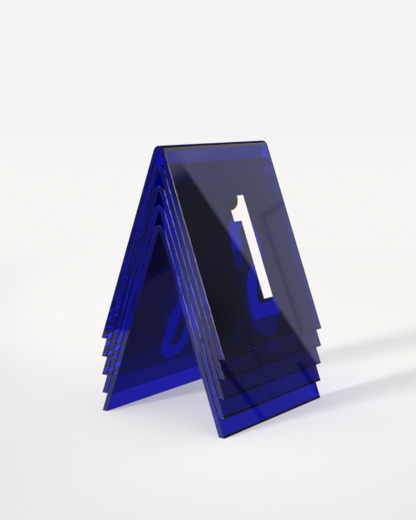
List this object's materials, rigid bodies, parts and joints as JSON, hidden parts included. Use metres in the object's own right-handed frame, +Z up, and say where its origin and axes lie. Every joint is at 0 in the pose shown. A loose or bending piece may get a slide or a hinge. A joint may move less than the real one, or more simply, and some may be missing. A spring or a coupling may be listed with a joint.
{
  "type": "table number holder",
  "caption": "Nested tent-shaped table number holders bent from tinted clear acrylic, each with a white numeral on both faces; each lifts off the one beneath.",
  "frame": {"origin": "on the table under the middle of the nested set", "axes": "+Z up; X along the ridges, with +X to the right of someone facing the front; the fronts of the numerals' faces look towards -Y"},
  "size_m": [0.089, 0.0788, 0.1386],
  "materials": {
    "blue_acrylic": "transparent cobalt blue acrylic, flame-polished gloss",
    "white_film": "cut white film, matt"
  },
  "bodies": {
    "tent_5_body": {"tent_5": "blue_acrylic", "numeral_5_front": "white_film", "numeral_5_back": "white_film"},
    "tent_4_body": {"tent_4": "blue_acrylic", "numeral_4_front": "white_film", "numeral_4_back": "white_film"},
    "tent_3_body": {"tent_3": "blue_acrylic", "numeral_3_front": "white_film", "numeral_3_back": "white_film"},
    "tent_2_body": {"tent_2": "blue_acrylic", "numeral_2_front": "white_film", "numeral_2_back": "white_film"},
    "tent_1_body": {"tent_1": "blue_acrylic", "numeral_1_front": "white_film", "numeral_1_back": "white_film"}
  },
  "joints": [
    {"name": "tent_4_lift", "type": "slide", "parent": "tent_5_body", "child": "tent_4_body", "axis": [0, 0, 1], "range_m": [0, 0.1]},
    {"name": "tent_3_lift", "type": "slide", "parent": "tent_4_body", "child": "tent_3_body", "axis": [0, 0, 1], "range_m": [0, 0.1]},
    {"name": "tent_2_lift", "type": "slide", "parent": "tent_3_body", "child": "tent_2_body", "axis": [0, 0, 1], "range_m": [0, 0.1]},
    {"name": "tent_1_lift", "type": "slide", "parent": "tent_2_body", "child": "tent_1_body", "axis": [0, 0, 1], "range_m": [0, 0.1]}
  ]
}
